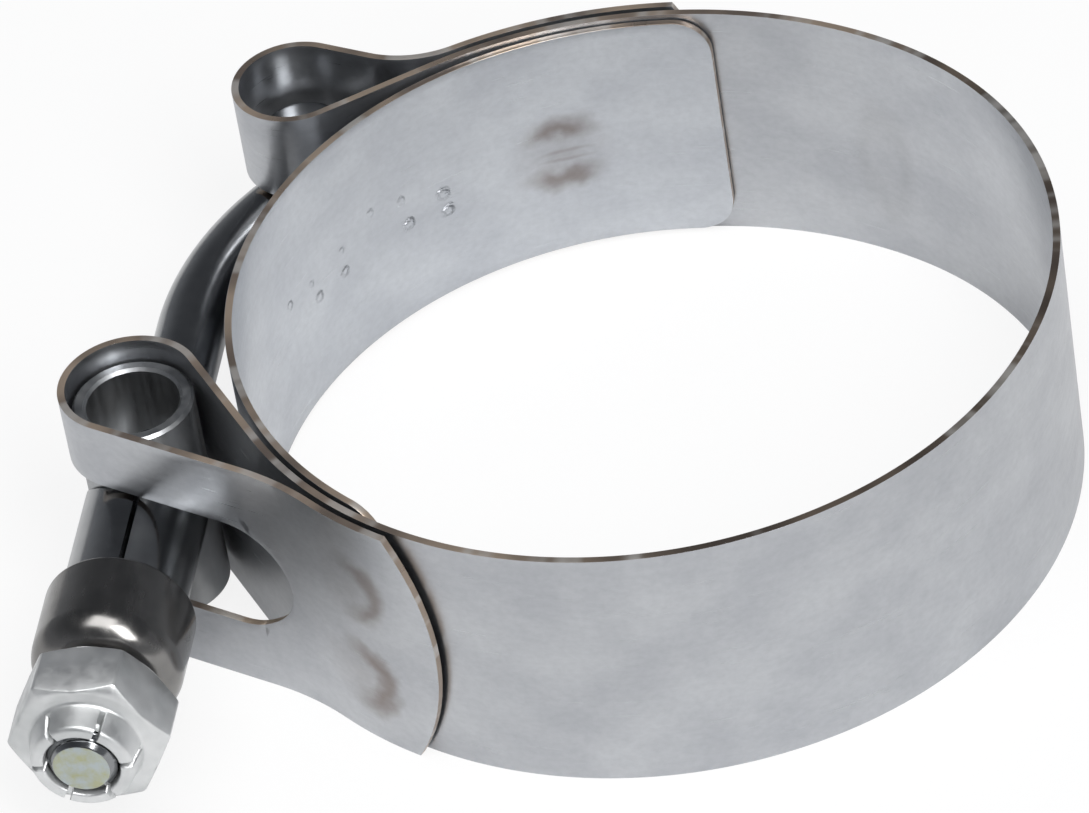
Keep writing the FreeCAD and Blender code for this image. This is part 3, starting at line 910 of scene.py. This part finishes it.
class CLAMP_OT_stage(bpy.types.Operator):
    """Sets the floor, the lamps, the world and the camera"""

    bl_idname = "clamp.stage"
    bl_label = "Stage"

    def execute(self, context):
        context.scene.view_settings.view_transform = "Standard"
        self.lay_floor(context.scene.clamp_stage.floor)
        for lamp in LAMPS:
            self.hang_lamp(*lamp)
        self.light_sky(context.scene)
        self.set_camera(context.scene)
        return {"FINISHED"}

    def lay_floor(self, colour):
        """Pale floor under the clamp, near white to the camera and darker in mirrors."""
        material, tree, shader = new_material(
            "Pale matt floor", {"Roughness": 0.9, "Specular IOR Level": 0.1})
        shader.inputs["Base Color"].default_value = tuple(colour)
        rays = add(tree, "ShaderNodeLightPath").outputs
        mirrored = arithmetic(tree, "MAXIMUM", rays["Is Glossy Ray"], rays["Is Transmission Ray"])
        share = arithmetic(
            tree, "MAXIMUM", arithmetic(tree, "MULTIPLY", rays["Is Camera Ray"], WHITE_TO_CAMERA),
            arithmetic(tree, "MULTIPLY", mirrored, WHITE_IN_MIRRORS))
        white = add(tree, "ShaderNodeEmission",
                    values={"Color": (1.0, 1.0, 1.0, 1.0), "Strength": 1.0})
        mixed = add(tree, "ShaderNodeMixShader", feeds={"Fac": share})
        tree.links.new(shader.outputs[0], mixed.inputs[1])
        tree.links.new(white.outputs[0], mixed.inputs[2])
        tree.links.new(mixed.outputs[0], tree.nodes["Material Output"].inputs["Surface"])
        low = CAD_BOX[0][2]
        corners = np.array([(x * FLOOR_HALF, y * FLOOR_HALF, low)
                            for x, y in ((-1.0, -1.0), (1.0, -1.0), (1.0, 1.0), (-1.0, 1.0))])
        floor = make_object("floor", corners, np.array([[0, 1, 2, 3]]), [material])

    def hang_lamp(self, name, spot, wide, tall, power):
        """Soft rectangular lamp that faces the middle of the object."""
        light = bpy.data.lights.new(name, "AREA")
        light.shape = "RECTANGLE"
        light.size = wide
        light.size_y = tall
        light.energy = power
        obj = bpy.data.objects.new(name, light)
        facing = Vector(spot).to_track_quat("Z", "Y").to_matrix().to_4x4()
        obj.matrix_world = Matrix.Translation(spot) @ facing
        bpy.context.scene.collection.objects.link(obj)

    def light_sky(self, scene):
        """World that dims from the horizon up."""
        world = bpy.data.worlds.new("Studio")
        scene.world = world
        world.use_nodes = True
        sky = world.node_tree
        height = add(sky, "ShaderNodeSeparateXYZ", feeds={
            "Vector": add(sky, "ShaderNodeTexCoord").outputs["Generated"]}).outputs[2]
        upward = spread(sky, height, 0.0, 0.7, 0.0, 1.0, True)
        tone = blend_colours(sky, upward, SKY_LOW, SKY_HIGH)
        sky.links.new(tone, sky.nodes["Background"].inputs["Color"])

    def set_camera(self, scene):
        """Camera with the photograph's place, direction and lens."""
        camera = bpy.data.objects.new("camera", bpy.data.cameras.new("camera"))
        camera.data.lens = scene.clamp_stage.focal
        camera.data.sensor_width = 36.0
        camera.data.sensor_fit = "HORIZONTAL"
        camera.data.clip_start = 0.05
        axes = Matrix((CAMERA_RIGHT, CAMERA_RIGHT.cross(CAMERA_FORWARD), -CAMERA_FORWARD))
        turn = axes.transposed().to_4x4()
        camera.matrix_world = Matrix.Translation(CAMERA_PLACE * MM) @ turn
        scene.collection.objects.link(camera)
        scene.camera = camera


class CLAMP_PT_panel(bpy.types.Panel):
    """Sidebar list of the clamp's pieces"""

    bl_idname = "CLAMP_PT_panel"
    bl_label = "Band clamp"
    bl_space_type = "VIEW_3D"
    bl_region_type = "UI"
    bl_category = "Clamp"

    def draw(self, context):
        for settings in (context.scene.clamp_strap, context.scene.clamp_stage):
            for name in settings.__annotations__:
                self.layout.prop(settings, name)
        for operator in OPERATORS:
            self.layout.operator(operator.bl_idname)


OPERATORS = (CLAMP_OT_strap, CLAMP_OT_bridge, CLAMP_OT_thimble, CLAMP_OT_nut, CLAMP_OT_bolt,
             CLAMP_OT_hardware, CLAMP_OT_stage)
CLASSES = (ClampStrapSettings, ClampStageSettings, *OPERATORS, CLAMP_PT_panel)


def register():
    """Makes the clamp's settings, operators and panel known."""
    for made in CLASSES:
        bpy.utils.register_class(made)
    bpy.types.Scene.clamp_strap = bpy.props.PointerProperty(type=ClampStrapSettings)
    bpy.types.Scene.clamp_stage = bpy.props.PointerProperty(type=ClampStageSettings)


def unregister():
    """Takes the clamp's settings, operators and panel away again."""
    del bpy.types.Scene.clamp_stage
    del bpy.types.Scene.clamp_strap
    for made in reversed(CLASSES):
        bpy.utils.unregister_class(made)


def main():
    """Builds every piece and the stage."""
    register()
    bpy.ops.clamp.strap()
    bpy.ops.clamp.bridge()
    bpy.ops.clamp.thimble()
    bpy.ops.clamp.nut()
    bpy.ops.clamp.bolt()
    bpy.ops.clamp.hardware()
    bpy.ops.clamp.stage()


if __name__ == "__main__":
    main()
